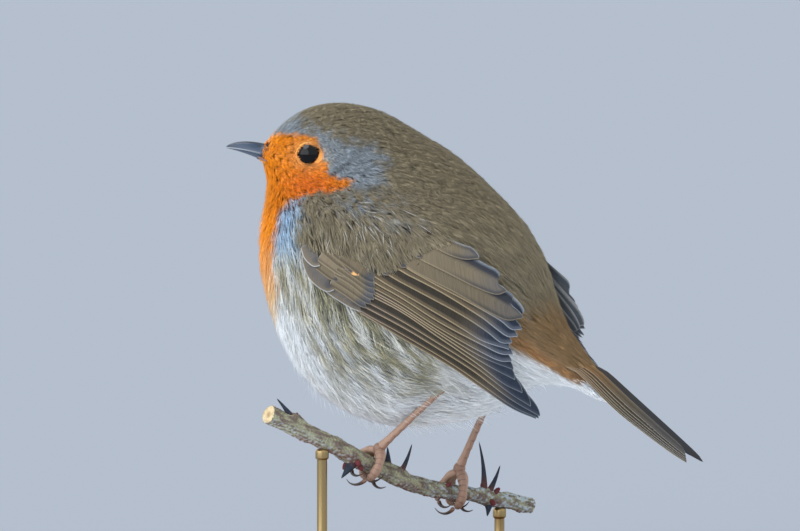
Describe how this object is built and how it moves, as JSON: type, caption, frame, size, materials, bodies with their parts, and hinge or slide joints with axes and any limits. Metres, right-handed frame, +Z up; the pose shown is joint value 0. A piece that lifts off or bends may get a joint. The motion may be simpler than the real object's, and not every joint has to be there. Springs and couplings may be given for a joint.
{
  "type": "european robin",
  "caption": "Still life-size songbird with a rounded fluffed body, folded wings and narrow tail, gripping a short thorny twig held over a round base by slim rods.",
  "frame": {"origin": "centre of the underside of the stand's round base, on the surface that it stands on", "axes": "+Z up; -X the way the trunk faces, so the tail points to +X; +Y the bird's right side"},
  "size_m": [0.1148, 0.084, 0.1148],
  "materials": {
    "plumage": "soft contour feathers, olive-brown above, orange on face and breast, white below",
    "flight_feathers": "smooth brown and slate vanes with pale edges",
    "eye": "wet gloss, near black",
    "horn": "satin slate-black horn",
    "leg_skin": "thin scaly skin, pinkish brown",
    "twig_bark": "rough grey-green bark with dark thorns",
    "turned_wood": "satin lacquer",
    "brass_rod": "satin"
  },
  "bodies": {
    "root": {"head": "plumage", "neck": "plumage", "trunk": "plumage", "thigh_left": "plumage", "thigh_right": "plumage", "tail": "flight_feathers", "eye_left": "eye", "eye_right": "eye", "bill_upper": "horn", "bill_lower": "horn", "tarsus_left": "leg_skin", "tarsus_right": "leg_skin", "foot_left": "leg_skin", "foot_right": "leg_skin", "perch": "twig_bark", "stand_base": "turned_wood", "stand_rod_1": "brass_rod", "stand_rod_2": "brass_rod", "wing_left_coverts": "flight_feathers", "wing_left_secondaries": "flight_feathers", "wing_left_primaries": "flight_feathers", "claw_left_inner": "horn", "claw_left_middle": "horn", "claw_left_outer": "horn", "claw_left_hind": "horn", "wing_right_coverts": "flight_feathers", "wing_right_secondaries": "flight_feathers", "wing_right_primaries": "flight_feathers", "claw_right_inner": "horn", "claw_right_middle": "horn", "claw_right_outer": "horn", "claw_right_hind": "horn"}
  },
  "joints": []
}
